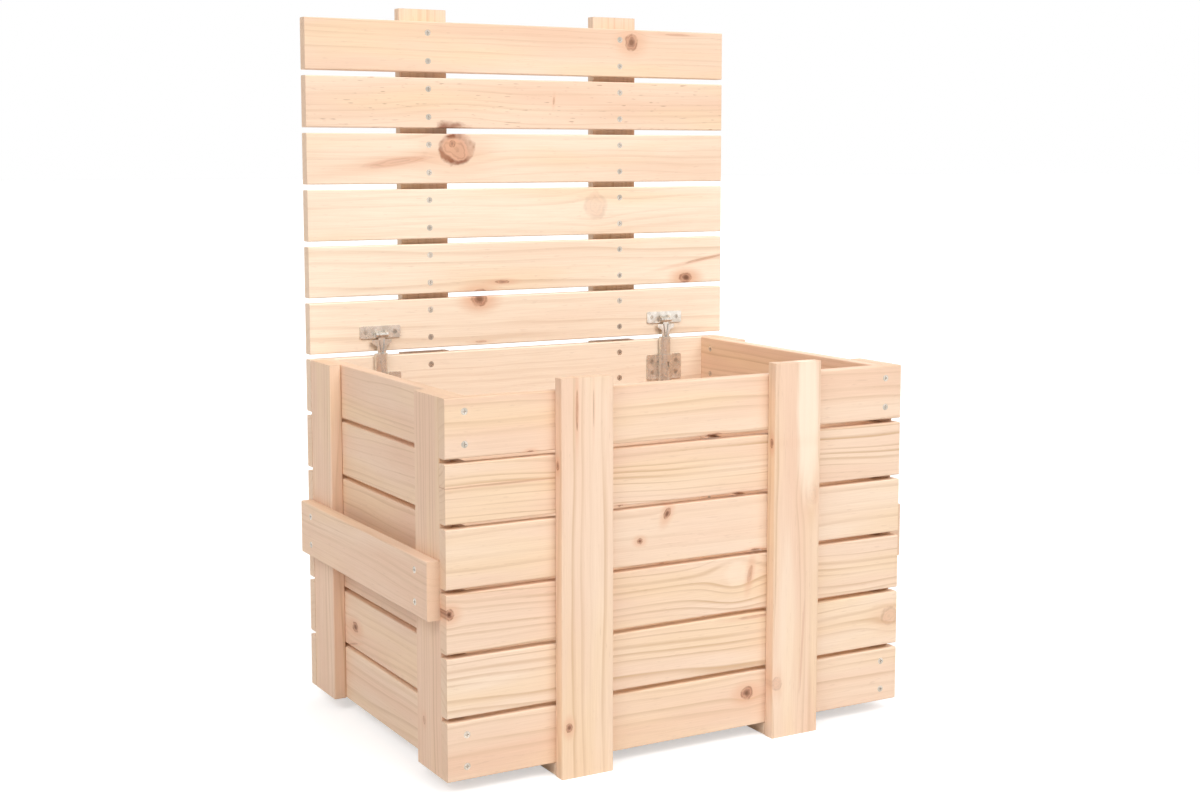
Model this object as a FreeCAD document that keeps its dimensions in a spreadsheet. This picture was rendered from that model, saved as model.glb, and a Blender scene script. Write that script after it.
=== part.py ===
import FreeCAD, Part
import os
import re
import Sketcher

# Slatted pine storage chest, shown open. X runs along its length, +Y to the back, +Z up, with the
# origin on the ground under the middle of the box. All sizes are in millimetres.
# Four slatted walls stand on two skids. Corner posts and handle boards are outside the side walls,
# upright battens hold the front, back and lid slats, and two sprung hinges let the lid lift and turn.

Vector = FreeCAD.Vector
EAST = Vector(1, 0, 0)
NORTH = Vector(0, 1, 0)
UP = Vector(0, 0, 1)

SLAT_ROWS = 6
FLOOR_BOARDS = 5
TOP_ROW = SLAT_ROWS - 1

doc = FreeCAD.newDocument("storage_chest")

# Driving sizes
SIZES = {
    "box_length": "552",
    "box_depth": "377",
    "board_thickness": "14",
    "edge_radius": "1.5",
    "slat_width": "59",
    "slat_gap": "4.8",
    "post_width": "59",
    "handle_width": "59",
    "batten_width": "59",
    "batten_inset": "119",
    "front_batten_rise": "13",
    "floor_board_gap": "13",
    "floor_clearance": "1",
    "lid_slat_gap": "6.24",
    "lid_front_clearance": "0.8",
    "lid_opening_gap": "6",
    "lid_rest_gap": "0.3",
    "screw_spread": "32",
    "screw_shank": "3.5",
    "screw_head": "7",
    "screw_point": "3",
    "screw_clearance": "0.1",
    "pilot_allowance": "0.5",
    "panel_screw_length": "25",
    "corner_screw_length": "30",
    "side_screw_inset": "21",
    "recess_span": "4",
    "recess_width": "0.9",
    "recess_depth": "1.2",
    "hinge_side_gap": "31.5",
    "hinge_sheet": "1.5",
    "hinge_corner": "2",
    "wall_plate_width": "50",
    "wall_plate_height": "31.5",
    "wall_plate_drop": "19",
    "wall_screw_span": "35",
    "wall_screw_rise": "14",
    "barrel_radius": "9.9",
    "barrel_overhang": "5.5",
    "slot_width": "3",
    "slot_height": "6.5",
    "slot_drop": "9",
    "arm_clearance": "0.4",
    "arm_wall": "1.4",
    "arm_insertion": "23",
    "arm_rise": "2",
    "arm_cap": "1.5",
    "blade_thickness": "2",
    "blade_foot": "9",
    "blade_waist": "12",
    "blade_head": "24",
    "blade_head_height": "4",
    "blade_clearance": "1.2",
    "pin_offset": "5",
    "pin_diameter": "3",
    "pin_clearance": "0.15",
    "pin_overhang": "0.8",
    "knuckle_diameter": "6.4",
    "knuckle_width": "8",
    "lug_gap": "0.4",
    "lug_width": "3",
    "lug_brace": "6",
    "lid_plate_width": "50",
    "lid_plate_height": "14.2",
    "lid_plate_clearance": "0.8",
    "lid_screw_span": "36",
    "hinge_screw_shank": "3",
    "hinge_screw_head": "5.4",
    "hinge_screw_length": "12",
    "spring_diameter": "5.4",
    "spring_clearance": "0.2",
    "tab_width": "5",
    "tab_reach": "5",
    "hook_wire": "1.2",
    "hook_foot": "2",
    "hook_head": "6.4",
}

# Places that follow from the driving sizes. The lid opens upright over the back wall. It turns on a
# pin that sinks into the wall housing, so that the closed lid's rear edge is flush with the back.
PLACES = {
    "half_length": "box_length / 2",
    "half_depth": "box_depth / 2",
    "inner_depth": "box_depth - 2 * board_thickness",
    "slat_pitch": "slat_width + slat_gap",
    "wall_base": "board_thickness",
    "wall_height": f"{SLAT_ROWS} * slat_width + {SLAT_ROWS - 1} * slat_gap",
    "wall_middle": "wall_base + wall_height / 2",
    "wall_top": "wall_base + wall_height",
    "side_face": "half_length - board_thickness",
    "inner_length": "2 * (side_face - board_thickness)",
    "post_offset": "inner_depth / 2 - post_width / 2",
    "batten_offset": "half_length - batten_inset - batten_width / 2",
    "front_batten_length": "wall_top + front_batten_rise",
    "floor_depth": "inner_depth - 2 * floor_clearance",
    "floor_board_width": f"(floor_depth - {FLOOR_BOARDS - 1} * floor_board_gap) / {FLOOR_BOARDS}",
    "floor_pitch": "floor_board_width + floor_board_gap",
    "screw_half": "screw_spread / 2",
    "corner_screw_offset": "half_length - 1.5 * board_thickness",
    "side_screw_offset": "inner_depth / 2 - side_screw_inset",
    "panel_bite": "panel_screw_length - board_thickness + pilot_allowance",
    "corner_bite": "corner_screw_length - board_thickness + pilot_allowance",
    "hinge_bite": "hinge_screw_length - hinge_sheet + pilot_allowance",
    "lid_base": "wall_top + lid_opening_gap",
    "lid_depth": "box_depth - lid_front_clearance",
    "lid_slat_width": f"(lid_depth - {SLAT_ROWS - 1} * lid_slat_gap) / {SLAT_ROWS}",
    "lid_pitch": "lid_slat_width + lid_slat_gap",
    "lid_batten_length": "box_depth + board_thickness",
    "hinge_offset": "inner_length / 2 - hinge_side_gap - wall_plate_width / 2",
    "wall_face": "half_depth - board_thickness",
    "pin_rise": "lid_opening_gap + board_thickness + pin_offset",
    "pin_travel": "pin_rise - lid_rest_gap + pin_offset",
    "plate_middle": "wall_plate_drop + wall_plate_height / 2",
    "plate_bottom": "wall_plate_drop + wall_plate_height",
    "bore_radius": "barrel_radius - hinge_sheet",
    "arm_radius": "bore_radius - arm_clearance",
    "arm_bottom": "wall_plate_drop + arm_insertion",
    "arm_back": "hinge_sheet + arm_clearance",
    "arm_top": "arm_rise + arm_cap",
    "lid_plate_base": "pin_rise - pin_offset + lid_plate_clearance",
    "lid_plate_middle": "lid_plate_base + lid_plate_height / 2",
    "head_top": "lid_plate_base - blade_clearance",
    "head_base": "head_top - blade_head_height",
    "waist_level": "pin_travel - wall_plate_drop + blade_clearance",
    "spring_bottom": "plate_bottom - hinge_sheet - spring_clearance",
    "spring_length": "spring_bottom + arm_rise - spring_clearance",
}


def fill_sheet(name, cells, as_text):
    sheet = doc.addObject("Spreadsheet::Sheet", name)
    for row, (alias, content) in enumerate(cells.items(), start=1):
        sheet.set(f"A{row}", alias)
        sheet.set(f"B{row}", as_text(content))
        sheet.setAlias(f"B{row}", alias)
    return sheet


def with_sheet_names(text, own_sheet=None):
    """Puts the sheet's name before each alias, as an expression outside that sheet needs."""
    def named(match):
        word = match.group()
        if word in SIZES:
            return f"Dimensions.{word}"
        if word in PLACES and own_sheet != "Layout":
            return f"Layout.{word}"
        return word
    return re.sub(r"[a-z_]+", named, text)


dimensions = fill_sheet("Dimensions", SIZES, str)
layout = fill_sheet("Layout", PLACES, lambda text: "=" + with_sheet_names(text, "Layout"))
doc.recompute()


def value(text):
    return float(layout.evalExpression(with_sheet_names(text)))


def bind(item, path, text):
    item.setExpression(path, with_sheet_names(text))


# Sketches and features

def add_sketch(body, name, plane, offset="0"):
    """A sketch on one of the body's own origin planes, moved along the plane's normal."""
    sketch = body.newObject("Sketcher::SketchObject", f"{body.Name}_{name}")
    support = next(item for item in body.Origin.OriginFeatures if item.Role == plane)
    sketch.AttachmentSupport = [(support, "")]
    sketch.MapMode = "FlatFace"
    bind(sketch, "AttachmentOffset.Base.z", offset)
    return sketch


def fix_point(sketch, item, vertex, across, along):
    """Binds a point's two distances from the sketch origin."""
    for kind, text in (("DistanceX", across), ("DistanceY", along)):
        held = sketch.addConstraint(Sketcher.Constraint(kind, -1, 1, item, vertex, value(text)))
        bind(sketch, f"Constraints[{held}]", text)


def add_outline(sketch, corners):
    """A closed outline of straight lines through corners that are each bound to the sheets."""
    points = [Vector(value(across), value(along), 0) for across, along in corners]
    for index, point in enumerate(points):
        sketch.addGeometry(Part.LineSegment(point, points[(index + 1) % len(points)]), False)
    for index, (across, along) in enumerate(corners):
        following = (index + 1) % len(points)
        sketch.addConstraint(Sketcher.Constraint("Coincident", index, 2, following, 1))
        fix_point(sketch, index, 1, across, along)


def add_rectangle(sketch, left, bottom, right, top):
    add_outline(sketch, [(left, bottom), (right, bottom), (right, top), (left, top)])


def add_circle(sketch, across, along, diameter):
    middle = Vector(value(across), value(along), 0)
    item = sketch.addGeometry(Part.Circle(middle, UP, value(diameter) / 2), False)
    fix_point(sketch, item, 3, across, along)
    held = sketch.addConstraint(Sketcher.Constraint("Diameter", item, value(diameter)))
    bind(sketch, f"Constraints[{held}]", diameter)


def add_pad(body, sketch, length):
    pad = body.newObject("PartDesign::Pad", f"{sketch.Name}_pad")
    pad.Profile = sketch
    bind(pad, "Length", length)
    doc.recompute()
    return pad


def check_cut(body, feature, volume_before):
    if body.Shape.Volume >= volume_before:
        raise RuntimeError(f"{feature.Name} cuts nothing")


def add_pocket(body, sketch, length, reverse=False):
    volume_before = body.Shape.Volume
    pocket = body.newObject("PartDesign::Pocket", f"{sketch.Name}_pocket")
    pocket.Profile = sketch
    pocket.Reversed = reverse
    bind(pocket, "Length", length)
    doc.recompute()
    check_cut(body, pocket, volume_before)


def add_holes(body, sketch, diameter, depth=None, head=None, reverse=False):
    """Drills the sketch's circles: right through or to a depth, countersunk where a head sits."""
    volume_before = body.Shape.Volume
    doc.recompute()
    hole = body.newObject("PartDesign::Hole", f"{sketch.Name}_hole")
    hole.Profile = sketch
    doc.recompute()
    hole.ThreadType = "None"
    hole.Reversed = reverse
    bind(hole, "Diameter", diameter)
    if depth is None:
        hole.DepthType = "ThroughAll"
    else:
        hole.DepthType = "Dimension"
        hole.DrillPoint = "Flat"
        bind(hole, "Depth", depth)
    if head is not None:
        hole.HoleCutType = "Countersink"
        hole.HoleCutCountersinkAngle = 90
        bind(hole, "HoleCutDiameter", head)
    doc.recompute()
    check_cut(body, hole, volume_before)


def add_fillet(body, base, edges, radius):
    fillet = body.newObject("PartDesign::Fillet", f"{base.Name}_fillet")
    fillet.Base = (base, edges)
    bind(fillet, "Radius", radius)
    doc.recompute()


def edges_along(shape, direction, least_offset=0):
    """Names of the straight edges along a direction, at least so far from the middle in X."""
    names = []
    for number, edge in enumerate(shape.Edges, start=1):
        straight = edge.Curve.TypeId == "Part::GeomLine"
        along = straight and abs(edge.tangentAt(edge.FirstParameter).dot(direction)) > 0.99
        if along and abs(edge.CenterOfMass.x) >= least_offset:
            names.append(f"Edge{number}")
    return names


def set_place(item, turn, across, along, level):
    item.Placement = FreeCAD.Placement(Vector(), turn)
    bind(item, "Placement.Base.x", across)
    bind(item, "Placement.Base.y", along)
    bind(item, "Placement.Base.z", level)


# Boards. A board's own X is its length and its own Y its width, both centred. Its own Z is its
# thickness, from the near face at zero to the far face.

WOOD_HOLE = "screw_shank + 2 * screw_clearance"
WOOD_HEAD = "screw_head + 2 * screw_clearance"
HINGE_HOLE = "hinge_screw_shank + 2 * screw_clearance"
HINGE_HEAD = "hinge_screw_head + 2 * screw_clearance"

subparts = []
screw_seats = []


def facing(length_axis, face_axis):
    """The turn that lays a board's length and its far face along two directions."""
    return FreeCAD.Rotation(length_axis, face_axis.cross(length_axis), face_axis, "ZXY")


def add_board(label, length, width, turn, across, along, level):
    body = doc.addObject("PartDesign::Body", label)
    body.Label = label
    outline = add_sketch(body, "outline", "XY_Plane")
    add_rectangle(outline, f"-({length}) / 2", f"-{width} / 2", f"({length}) / 2", f"{width} / 2")
    pad = add_pad(body, outline, "board_thickness")
    add_fillet(body, pad, edges_along(pad.Shape, EAST), "edge_radius")
    set_place(body, turn, across, along, level)
    subparts.append(body)
    return body


def add_screw_holes(body, points, far_face, screw, group):
    """Countersunk through holes, each of which gets one screw of the named kind."""
    level = "board_thickness" if far_face else "0"
    name = "screws_far" if far_face else "screws_near"
    sketch = add_sketch(body, name, "XY_Plane", level)
    drive = -UP if far_face else UP
    for across, along in points:
        add_circle(sketch, across, along, WOOD_HOLE)
        screw_seats.append((body, (across, along, level), drive, screw, group))
    add_holes(body, sketch, WOOD_HOLE, head=WOOD_HEAD, reverse=not far_face)


def add_pilot_holes(body, name, points, far_face, diameter, depth):
    sketch = add_sketch(body, name, "XY_Plane", "board_thickness" if far_face else "0")
    for across, along in points:
        add_circle(sketch, across, along, diameter)
    add_holes(body, sketch, diameter, depth=depth, reverse=not far_face)


def pairs(across_places):
    """Two points, one screw spread apart over a board's width, at each place along its length."""
    return [(place, side) for place in across_places for side in ("screw_half", "-screw_half")]


def row_level(row):
    return f"wall_base + slat_width / 2 + {row} * slat_pitch"


def lid_row_level(row):
    return f"lid_base + lid_slat_width / 2 + {row} * lid_pitch"


def stacked_pairs(row_levels, board_middle, across="0"):
    """Pilot points along an upright, two for each slat that crosses it."""
    points = []
    for level in row_levels:
        for side in ("+ screw_half", "- screw_half"):
            points.append((f"{level} {side} - ({board_middle})", across))
    return points


BATTEN_PAIRS = pairs(("batten_offset", "-batten_offset"))
CORNER_PAIRS = pairs(("corner_screw_offset", "-corner_screw_offset"))
SIDE_PAIRS = pairs(("side_screw_offset", "-side_screw_offset"))
SIDES = (("left", -1), ("right", 1))
ENDS = (("front", -1), ("back", 1))
WALL_LEVELS = [row_level(row) for row in range(SLAT_ROWS)]
LID_LEVELS = [lid_row_level(row) for row in range(SLAT_ROWS)]

# Front and back slats. The bottom and top ones are also screwed into the ends of the side slats.
for end_name, end in ENDS:
    for row in range(SLAT_ROWS):
        slat = add_board(f"{end_name}_slat_{row + 1}", "box_length", "slat_width",
                         facing(EAST, NORTH * -end), "0", f"{end} * half_depth", row_level(row))
        add_screw_holes(slat, BATTEN_PAIRS, True, "panel_screw", "box_screws")
        if row in (0, TOP_ROW):
            add_screw_holes(slat, CORNER_PAIRS, False, "corner_screw", "box_screws")
        if end_name == "back" and row == TOP_ROW:
            top_back_slat = slat

# Side slats, set between the front and back slats
for side_name, side in SIDES:
    for row in range(SLAT_ROWS):
        slat = add_board(f"{side_name}_slat_{row + 1}", "inner_depth", "slat_width",
                         facing(NORTH, EAST * -side), f"{side} * side_face", "0", row_level(row))
        add_screw_holes(slat, SIDE_PAIRS, True, "panel_screw", "box_screws")
        if row in (0, TOP_ROW):
            for end_name, end in ENDS:
                drilling = add_sketch(slat, f"{end_name}_end", "YZ_Plane", f"{end} * inner_depth / 2")
                for level in ("screw_half", "-screw_half"):
                    add_circle(drilling, level, "board_thickness / 2", WOOD_HOLE)
                add_holes(slat, drilling, WOOD_HOLE, depth="corner_bite", reverse=end < 0)

# Corner posts, outside the side slats
for side_name, side in SIDES:
    for end_name, end in ENDS:
        post = add_board(f"{end_name}_{side_name}_post", "wall_height", "post_width",
                         facing(UP, EAST * side), f"{side} * side_face", f"{end} * post_offset",
                         "wall_middle")
        slat_points = stacked_pairs(WALL_LEVELS, "wall_middle",
                                    f"{-side * end} * (side_screw_offset - post_offset)")
        add_pilot_holes(post, "slat_pilots", slat_points, False, WOOD_HOLE, "panel_bite")
        handle_points = [("screw_half", "0"), ("-screw_half", "0")]
        add_pilot_holes(post, "handle_pilots", handle_points, True, WOOD_HOLE, "panel_bite")

# Handle boards, across the outside of the posts at half height
for side_name, side in SIDES:
    handle = add_board(f"{side_name}_handle", "inner_depth", "handle_width",
                       facing(NORTH, EAST * side), f"{side} * half_length", "0", "wall_middle")
    add_screw_holes(handle, pairs(("post_offset", "-post_offset")), True, "panel_screw", "box_screws")

# Battens outside the front and back walls. The front ones rise to the closed lid's upper face.
for end_name, end in ENDS:
    length = "front_batten_length" if end < 0 else "wall_top"
    for side_name, side in SIDES:
        batten = add_board(f"{end_name}_{side_name}_batten", length, "batten_width",
                           facing(UP, NORTH * end), f"{side} * batten_offset", f"{end} * half_depth",
                           f"{length} / 2")
        add_pilot_holes(batten, "pilots", stacked_pairs(WALL_LEVELS, f"{length} / 2"), False,
                        WOOD_HOLE, "panel_bite")

# Skids under the box, between the feet of the battens
FLOOR_ROWS = [f"{row - (FLOOR_BOARDS - 1) / 2} * floor_pitch" for row in range(FLOOR_BOARDS)]
for side_name, side in SIDES:
    skid = add_board(f"{side_name}_skid", "box_depth", "batten_width", facing(NORTH, UP),
                     f"{side} * batten_offset", "0", "0")
    add_pilot_holes(skid, "pilots", stacked_pairs(FLOOR_ROWS, "0"), True, WOOD_HOLE, "panel_bite")

# Floor boards on the skids
for row, place in enumerate(FLOOR_ROWS, start=1):
    plank = add_board(f"floor_board_{row}", "inner_length - 2 * floor_clearance", "floor_board_width",
                      facing(EAST, UP), "0", place, "wall_base")
    add_screw_holes(plank, BATTEN_PAIRS, True, "panel_screw", "box_screws")

# Lid slats, upright in the open lid with their undersides to the front
for row in range(SLAT_ROWS):
    slat = add_board(f"lid_slat_{row + 1}", "box_length", "lid_slat_width", facing(EAST, -NORTH),
                     "0", "half_depth", lid_row_level(row))
    add_screw_holes(slat, BATTEN_PAIRS, True, "panel_screw", "lid_screws")
    if row == 0:
        rear_lid_slat = slat

# Lid battens. They reach past the front slat, over the tops of the front battens.
for side_name, side in SIDES:
    middle = "lid_base + lid_batten_length / 2"
    batten = add_board(f"lid_{side_name}_batten", "lid_batten_length", "batten_width",
                       facing(UP, NORTH), f"{side} * batten_offset", "half_depth", middle)
    add_pilot_holes(batten, "pilots", stacked_pairs(LID_LEVELS, middle), False, WOOD_HOLE, "panel_bite")


# Hinges. Each hinge's own origin is on the inner face of the back wall, level with its top. Its own
# -Y points into the box.

WALL_SCREWS = [(f"{across} * wall_screw_span / 2", f"{level} * wall_screw_rise / 2 - plate_middle")
               for across in (-1, 1) for level in (-1, 1)]
LID_SCREWS = [(f"{across} * lid_screw_span / 2", "lid_plate_middle") for across in (-1, 1)]


def add_hinge_body(label, side):
    body = doc.addObject("PartDesign::Body", label)
    body.Label = label
    set_place(body, FreeCAD.Rotation(), f"{side} * hinge_offset", "wall_face", "wall_top")
    return body


def add_hinge_screws(body, points, group):
    sketch = add_sketch(body, "screws", "XZ_Plane", "hinge_sheet")
    for across, level in points:
        add_circle(sketch, across, level, HINGE_HOLE)
        seat = (across, "-hinge_sheet", level)
        screw_seats.append((body, seat, NORTH, "hinge_screw", group))
    add_holes(body, sketch, HINGE_HOLE, head=HINGE_HEAD)


def add_half_round(body, radius, bottom, height, back):
    """An upright bar standing out of the plane at back, round towards the box."""
    circle = add_sketch(body, "round", "XY_Plane", bottom)
    add_circle(circle, "0", "-hinge_sheet", f"2 * {radius}")
    add_pad(body, circle, height)
    flat = add_sketch(body, "flat", "XY_Plane", bottom)
    add_rectangle(flat, f"-2 * {radius}", f"-({back})", f"2 * {radius}", f"2 * {radius}")
    add_pocket(body, flat, height, reverse=True)


def add_housing(side_name, side):
    """Wall plate with a half round, slotted barrel, in which the arm slides, and the spring's tab."""
    body = add_hinge_body(f"{side_name}_hinge_housing", side)
    bottom = "-plate_bottom - barrel_overhang"
    height = "wall_plate_height + barrel_overhang"
    add_half_round(body, "barrel_radius", bottom, height, "hinge_sheet")
    bore = add_sketch(body, "bore", "XY_Plane", bottom)
    add_circle(bore, "0", "-hinge_sheet", "2 * bore_radius")
    add_pocket(body, bore, height, reverse=True)
    plate = add_sketch(body, "plate", "XZ_Plane")
    add_rectangle(plate, "-wall_plate_width / 2", "-plate_bottom", "wall_plate_width / 2",
                  "-wall_plate_drop")
    pad = add_pad(body, plate, "hinge_sheet")
    corners = edges_along(pad.Shape, NORTH, value("wall_plate_width / 2 - hinge_corner"))
    add_fillet(body, pad, corners, "hinge_corner")
    front = "hinge_sheet + barrel_radius"
    slot = add_sketch(body, "slot", "XZ_Plane", front)
    add_rectangle(slot, "-slot_width / 2", "-wall_plate_drop - slot_drop - slot_height",
                  "slot_width / 2", "-wall_plate_drop - slot_drop")
    add_pocket(body, slot, "2 * hinge_sheet")
    tab = add_sketch(body, "tab", "XZ_Plane", "hinge_sheet / 2")
    add_rectangle(tab, "-tab_width / 2", "-plate_bottom", "tab_width / 2", "hinge_sheet - plate_bottom")
    add_pad(body, tab, "tab_reach + hinge_sheet / 2")
    add_hinge_screws(body, WALL_SCREWS, "box_screws")
    subparts.append(body)


def add_arm(side_name, side):
    """Half round sleeve with a closed top, and a flared blade that ends in the pin's knuckle."""
    body = add_hinge_body(f"{side_name}_hinge_arm", side)
    add_half_round(body, "arm_radius", "-arm_bottom", "arm_bottom + arm_top", "arm_back")
    bore = add_sketch(body, "bore", "XY_Plane", "-arm_bottom")
    add_circle(bore, "0", "-hinge_sheet", "2 * (arm_radius - arm_wall)")
    add_pocket(body, bore, "arm_bottom + arm_rise", reverse=True)
    right_side = [("blade_foot / 2", "arm_rise"), ("blade_waist / 2", "waist_level"),
                  ("blade_head / 2", "head_base"), ("blade_head / 2", "head_top"),
                  ("knuckle_width / 2", "head_top"), ("knuckle_width / 2", "pin_rise")]
    left_side = [(f"-{across}", level) for across, level in reversed(right_side)]
    blade = add_sketch(body, "blade", "XZ_Plane", "pin_offset - blade_thickness / 2")
    add_outline(blade, right_side + left_side)
    add_pad(body, blade, "blade_thickness")
    knuckle = add_sketch(body, "knuckle", "YZ_Plane", "-knuckle_width / 2")
    add_circle(knuckle, "-pin_offset", "pin_rise", "knuckle_diameter")
    add_pad(body, knuckle, "knuckle_width")
    eye = add_sketch(body, "eye", "YZ_Plane", "-knuckle_width / 2")
    add_circle(eye, "-pin_offset", "pin_rise", "pin_diameter + 2 * pin_clearance")
    add_pocket(body, eye, "knuckle_width", reverse=True)
    subparts.append(body)


def add_lid_plate(side_name, side):
    """Bar screwed to the lid's underside, with two lugs that hold the pin beside the knuckle."""
    body = add_hinge_body(f"{side_name}_hinge_lid_plate", side)
    bar = add_sketch(body, "bar", "XZ_Plane")
    add_rectangle(bar, "-lid_plate_width / 2", "lid_plate_base", "lid_plate_width / 2",
                  "lid_plate_base + lid_plate_height")
    pad = add_pad(body, bar, "hinge_sheet")
    add_fillet(body, pad, edges_along(pad.Shape, NORTH), "hinge_corner")
    for lug_name, start in (("left", "-knuckle_width / 2 - lug_gap - lug_width"),
                            ("right", "knuckle_width / 2 + lug_gap")):
        cheek = add_sketch(body, f"{lug_name}_cheek", "YZ_Plane", start)
        add_outline(cheek, [("-hinge_sheet / 2", "pin_rise - knuckle_diameter / 2"),
                            ("-hinge_sheet / 2", "pin_rise + lug_brace"),
                            ("-pin_offset", "pin_rise + knuckle_diameter / 2"),
                            ("-pin_offset", "pin_rise - knuckle_diameter / 2")])
        add_pad(body, cheek, "lug_width")
        nose = add_sketch(body, f"{lug_name}_nose", "YZ_Plane", start)
        add_circle(nose, "-pin_offset", "pin_rise", "knuckle_diameter")
        add_pad(body, nose, "lug_width")
        eye = add_sketch(body, f"{lug_name}_eye", "YZ_Plane", start)
        add_circle(eye, "-pin_offset", "pin_rise", "pin_diameter + 2 * pin_clearance")
        add_pocket(body, eye, "lug_width", reverse=True)
    add_hinge_screws(body, LID_SCREWS, "lid_screws")
    subparts.append(body)


def add_pin(side_name, side):
    pin = doc.addObject("Part::Cylinder", f"{side_name}_pin")
    half_pin = "knuckle_width / 2 + lug_gap + lug_width + pin_overhang"
    bind(pin, "Radius", "pin_diameter / 2")
    bind(pin, "Height", f"2 * ({half_pin})")
    set_place(pin, FreeCAD.Rotation(UP, EAST), f"{side} * hinge_offset - ({half_pin})",
              "wall_face - pin_offset", "wall_top + pin_rise")
    return pin


def add_hook(side_name, side):
    """Bent wire that lies on the front of the blade, from the sleeve's cap up to the head."""
    body = add_hinge_body(f"{side_name}_hook", side)
    front = "pin_offset + blade_thickness / 2 + hook_wire / 2"
    foot_level = "arm_top + hook_wire / 2"
    route = [("-hook_head / 2", "head_top"), ("-hook_foot / 2", foot_level),
             ("hook_foot / 2", foot_level), ("hook_head / 2", "head_top")]
    points = [Vector(value(across), value(level), 0) for across, level in route]
    path = add_sketch(body, "path", "XZ_Plane", front)
    for index in range(len(points) - 1):
        path.addGeometry(Part.LineSegment(points[index], points[index + 1]), False)
        fix_point(path, index, 1, *route[index])
        if index > 0:
            path.addConstraint(Sketcher.Constraint("Coincident", index - 1, 2, index, 1))
    fix_point(path, len(points) - 2, 2, *route[-1])
    wire = add_sketch(body, "wire", "XY_Plane", "head_top")
    add_circle(wire, "-hook_head / 2", f"-({front})", "hook_wire")
    pipe = body.newObject("PartDesign::AdditivePipe", f"{body.Name}_pipe")
    pipe.Profile = wire
    pipe.Spine = (path, ["Edge1", "Edge2", "Edge3"])
    pipe.Transition = "Round corner"
    doc.recompute()
    return body


def add_spring(side_name, side):
    """The space of the coil spring that draws the arm down, between the tab and the sleeve's cap."""
    spring = doc.addObject("Part::Cylinder", f"{side_name}_spring")
    bind(spring, "Radius", "spring_diameter / 2")
    bind(spring, "Height", "spring_length")
    set_place(spring, FreeCAD.Rotation(), f"{side} * hinge_offset", "wall_face - pin_offset",
              "wall_top - spring_bottom")
    return spring


def add_set(label, pieces):
    group = doc.addObject("Part::Compound", label)
    group.Label = label
    group.Links = pieces
    subparts.append(group)


for side_name, side in SIDES:
    add_housing(side_name, side)
    add_arm(side_name, side)
    add_lid_plate(side_name, side)

add_set("hinge_pins", [add_pin(*named_side) for named_side in SIDES])
add_set("hinge_hooks", [add_hook(*named_side) for named_side in SIDES])
add_set("hinge_springs", [add_spring(*named_side) for named_side in SIDES])

# Pilot holes for the hinge screws in the top back slat and in the lid's rear slat
wall_points = [(f"{side} * hinge_offset + {across}", f"slat_width / 2 + {level}")
               for _, side in SIDES for across, level in WALL_SCREWS]
add_pilot_holes(top_back_slat, "hinge_pilots", wall_points, True, HINGE_HOLE, "hinge_bite")
lid_points = [(f"{side} * hinge_offset + {across}", f"{level} - lid_opening_gap - lid_slat_width / 2")
              for _, side in SIDES for across, level in LID_SCREWS]
add_pilot_holes(rear_lid_slat, "hinge_pilots", lid_points, True, HINGE_HOLE, "hinge_bite")


# Countersunk screws with a cross recess. A screw's own origin is on top of its head, and it points down.

def add_screw(name, length, shank, head):
    body = doc.addObject("PartDesign::Body", name)
    profile = add_sketch(body, "profile", "XZ_Plane")
    tip = f"{shank} / 8"
    add_outline(profile, [("0", "0"), (f"{head} / 2", "0"),
                          (f"{shank} / 2", f"-({head} - {shank}) / 2"),
                          (f"{shank} / 2", f"screw_point - {length}"),
                          (tip, f"-{length}"), ("0", f"-{length}")])
    turned = body.newObject("PartDesign::Revolution", f"{name}_turned")
    turned.Profile = profile
    turned.ReferenceAxis = (profile, ["V_Axis"])
    turned.Angle = 360
    doc.recompute()
    recess = add_sketch(body, "recess", "XY_Plane")
    arm = "recess_width / 2"
    reach = "recess_span / 2"
    quarter = [(arm, arm), (arm, reach), (f"-{arm}", reach)]
    cross = []
    for _ in range(4):
        cross += quarter
        quarter = [(f"-({along})", across) for across, along in quarter]
    add_outline(recess, cross)
    add_pocket(body, recess, "recess_depth")
    return body


SCREWS = {
    "panel_screw": add_screw("panel_screw", "panel_screw_length", "screw_shank", "screw_head"),
    "corner_screw": add_screw("corner_screw", "corner_screw_length", "screw_shank", "screw_head"),
    "hinge_screw": add_screw("hinge_screw", "hinge_screw_length", "hinge_screw_shank", "hinge_screw_head"),
}


def driven_screw(body, seat, drive, kind):
    """A copy of a screw in its seat, which is given in the frame of the piece that it holds."""
    place = body.Placement.multVec(Vector(*(value(text) for text in seat)))
    direction = body.Placement.Rotation.multVec(drive)
    screw = SCREWS[kind].Shape.copy()
    screw.Placement = FreeCAD.Placement(place, FreeCAD.Rotation(-UP, direction))
    return screw


doc.recompute()
for group_name in ("box_screws", "lid_screws"):
    group = doc.addObject("Part::Feature", group_name)
    group.Label = group_name
    group.Shape = Part.makeCompound([driven_screw(body, seat, drive, kind)
                                     for body, seat, drive, kind, owner in screw_seats
                                     if owner == group_name])
    subparts.append(group)
doc.recompute()

# Every object has to be computed and every piece sound before anything is written
for item in doc.Objects:
    if "Invalid" in item.State or "Error" in item.State:
        raise RuntimeError(f"{item.Name} failed: {item.State}")
for piece in subparts:
    if piece.Shape.isNull() or not piece.Shape.isValid() or not piece.Shape.Solids:
        raise RuntimeError(f"{piece.Label} has no sound shape")

os.makedirs("parts", exist_ok=True)
for piece in subparts:
    piece.Shape.exportStep(f"parts/{piece.Label}.step")
    print(piece.Label, len(piece.Shape.Solids), round(piece.Shape.Volume, 1))
print("pieces", len(subparts), "pin travel", round(value("pin_travel"), 3))
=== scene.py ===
import math
import random
from collections import namedtuple

import bmesh
import bpy
from mathutils import Matrix, Vector


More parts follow.
